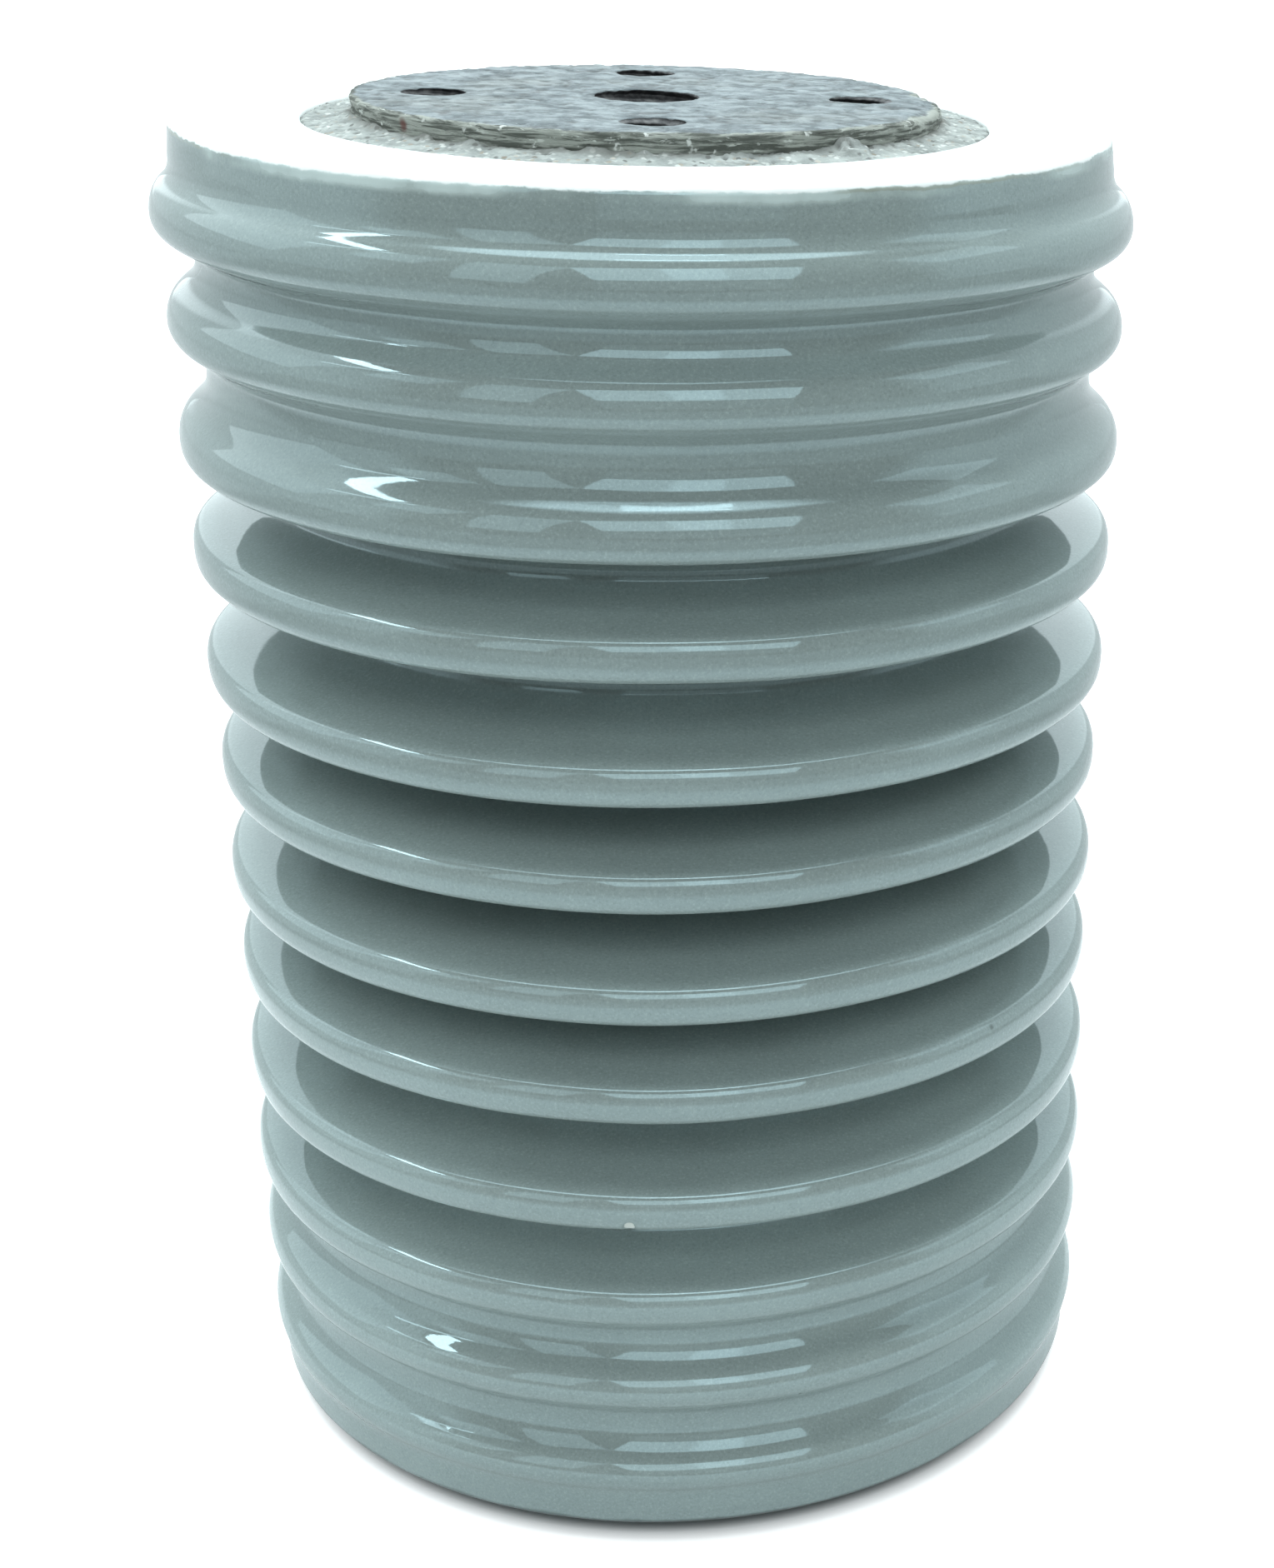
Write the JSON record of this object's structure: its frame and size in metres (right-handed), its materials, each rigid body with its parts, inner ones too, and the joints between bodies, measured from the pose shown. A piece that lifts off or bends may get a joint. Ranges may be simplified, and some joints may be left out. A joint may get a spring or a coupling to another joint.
{
  "type": "post insulator",
  "caption": "Ribbed glazed porcelain post insulator with a cast insert cemented into each end, tapped for a centre stud and a circle of four bolts.",
  "frame": {"origin": "centre of the lower mounting face, which is the outer face of the bottom insert", "axes": "+Z along the insulator's axis towards the other mounting face; +X and +Y each pass through an outer tapped hole"},
  "size_m": [0.1776, 0.1776, 0.259],
  "materials": {
    "glazed_porcelain": "glossy pale grey-green glaze, ground bare end faces",
    "insert_casting": "galvanised and weathered dull grey casting",
    "portland_cement": "rough pale grey mortar",
    "sanded_grit": "coarse fired grit",
    "bitumen": "black satin coat",
    "cork_disc": "dry granulated cork"
  },
  "bodies": {
    "root": {"porcelain_body": "glazed_porcelain", "top_insert": "insert_casting", "bottom_insert": "insert_casting", "top_cement": "portland_cement", "bottom_cement": "portland_cement", "top_sand_band": "sanded_grit", "bottom_sand_band": "sanded_grit", "top_bitumen_film": "bitumen", "bottom_bitumen_film": "bitumen", "top_cushion_disc": "cork_disc", "bottom_cushion_disc": "cork_disc"}
  },
  "joints": []
}
